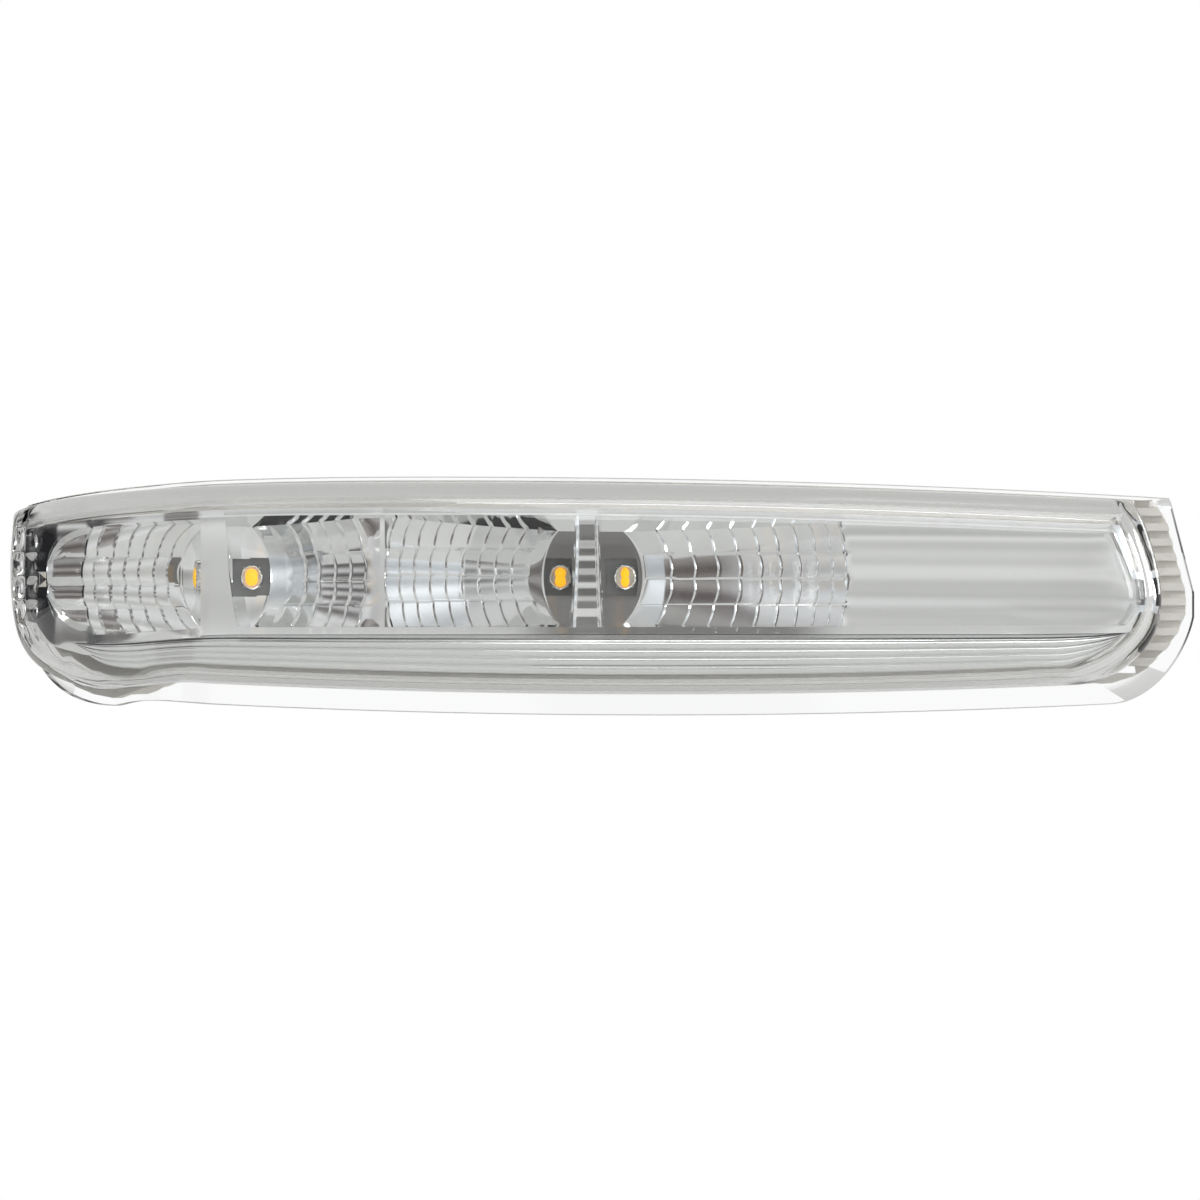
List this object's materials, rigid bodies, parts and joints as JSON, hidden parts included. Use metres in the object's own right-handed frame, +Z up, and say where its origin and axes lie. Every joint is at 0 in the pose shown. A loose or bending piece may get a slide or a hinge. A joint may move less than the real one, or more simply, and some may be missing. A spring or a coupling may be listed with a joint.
{
  "type": "side repeater lamp",
  "caption": "Side repeater lamp for a door mirror: clear lens over a stepped reflector with four amber LEDs, grey housing with socket, two bosses and a locating peg.",
  "frame": {"origin": "centre of the mouth of the middle fixing boss, on the back of the housing", "axes": "+X along the lamp towards its inner end, +Z up, the lit front faces -Y and the fixings face +Y"},
  "size_m": [0.1993, 0.0442, 0.0398],
  "materials": {
    "clear_lens": "polished",
    "housing_grey": "moulded",
    "metallised": "mirror",
    "circuit_board": "satin",
    "led_body": "satin",
    "amber_phosphor": "gloss",
    "chip_black": "satin",
    "chip_tan": "satin",
    "tinned_metal": "satin",
    "membrane": "matte"
  },
  "bodies": {
    "root": {"lens": "clear_lens", "housing": "housing_grey", "reflector": "metallised", "main_board": "circuit_board", "side_board": "circuit_board", "led_1": "led_body", "led_2": "led_body", "led_3": "led_body", "led_4": "led_body", "emitter_1": "amber_phosphor", "emitter_2": "amber_phosphor", "emitter_3": "amber_phosphor", "emitter_4": "amber_phosphor", "resistor_1": "chip_black", "resistor_2": "chip_black", "resistor_3": "chip_black", "resistor_4": "chip_black", "diode": "chip_black", "capacitor": "chip_tan", "board_pins": "tinned_metal", "terminal_1": "tinned_metal", "terminal_2": "tinned_metal", "board_screws": "tinned_metal", "vent_patch": "membrane"}
  },
  "joints": []
}
